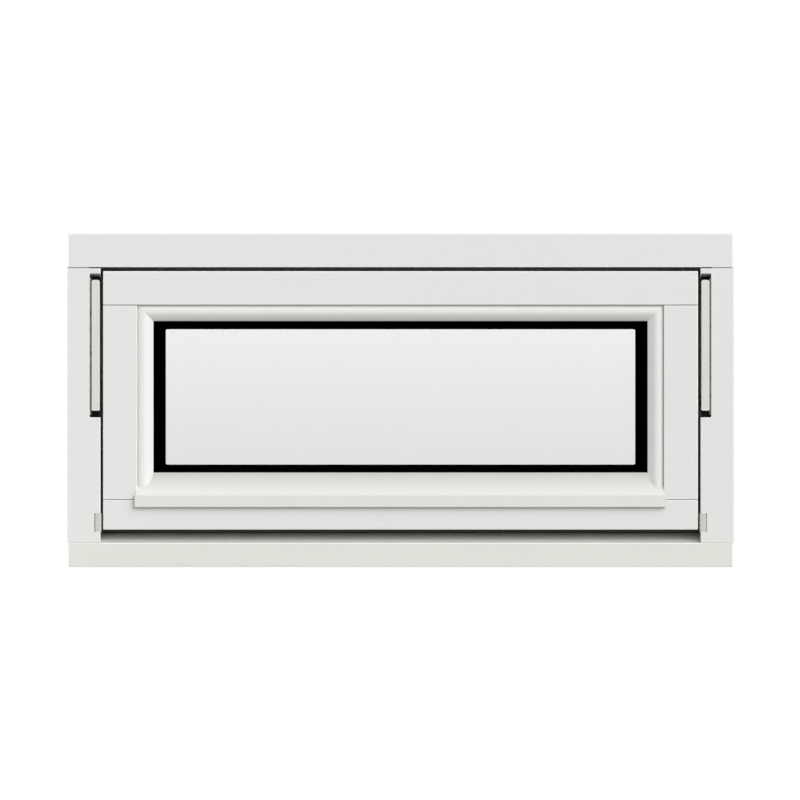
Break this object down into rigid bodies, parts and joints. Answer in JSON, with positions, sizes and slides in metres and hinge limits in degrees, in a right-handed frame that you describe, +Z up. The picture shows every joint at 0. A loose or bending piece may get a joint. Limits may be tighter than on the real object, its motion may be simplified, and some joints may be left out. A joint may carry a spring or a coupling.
{
  "type": "pivot window",
  "caption": "White-painted timber window with an outward-opening, fully reversing sash on side arms, sealed glazing, drip bead and weathered sill",
  "frame": {"origin": "middle of the sill's underside", "axes": "seen from outside, +X right along the sill, +Y into the room, +Z up"},
  "size_m": [1, 0.1185, 0.5],
  "materials": {
    "frame_paint": "white-painted pine, satin",
    "sash_paint": "white-painted pine, satin",
    "bead_paint": "white-painted pine, satin",
    "glass": "clear float glass",
    "edge_seal": "black edge seal, matt",
    "gasket_rubber": "black glazing rubber",
    "seal_rubber": "dark weather seal",
    "arm_coating": "light powder coat",
    "zinc_steel": "zinc-plated steel",
    "block_plastic": "light grey plastic",
    "handle_metal": "satin anodised"
  },
  "bodies": {
    "root": {"frame_head": "frame_paint", "frame_sill": "frame_paint", "frame_jamb_left": "frame_paint", "frame_jamb_right": "frame_paint", "sash_top_rail": "sash_paint", "sash_bottom_rail": "sash_paint", "sash_stile_left": "sash_paint", "sash_stile_right": "sash_paint", "bead_top": "bead_paint", "bead_bottom": "bead_paint", "bead_left": "bead_paint", "bead_right": "bead_paint", "pane_outer": "glass", "pane_inner": "glass", "spacer_top": "edge_seal", "spacer_bottom": "edge_seal", "spacer_left": "edge_seal", "spacer_right": "edge_seal", "outer_gasket_top": "gasket_rubber", "outer_gasket_bottom": "gasket_rubber", "outer_gasket_left": "gasket_rubber", "outer_gasket_right": "gasket_rubber", "inner_gasket_top": "gasket_rubber", "inner_gasket_bottom": "gasket_rubber", "inner_gasket_left": "gasket_rubber", "inner_gasket_right": "gasket_rubber", "seal_top": "seal_rubber", "seal_bottom": "seal_rubber", "seal_left": "seal_rubber", "seal_right": "seal_rubber", "hinge_arm_left": "arm_coating", "hinge_plate_left": "zinc_steel", "hinge_sash_plate_left": "zinc_steel", "frame_pivot_left": "zinc_steel", "sash_pivot_left": "zinc_steel", "closing_block_left": "block_plastic", "hinge_arm_right": "arm_coating", "hinge_plate_right": "zinc_steel", "hinge_sash_plate_right": "zinc_steel", "frame_pivot_right": "zinc_steel", "sash_pivot_right": "zinc_steel", "closing_block_right": "block_plastic", "handle_rose": "handle_metal", "handle_grip": "handle_metal"}
  },
  "joints": []
}
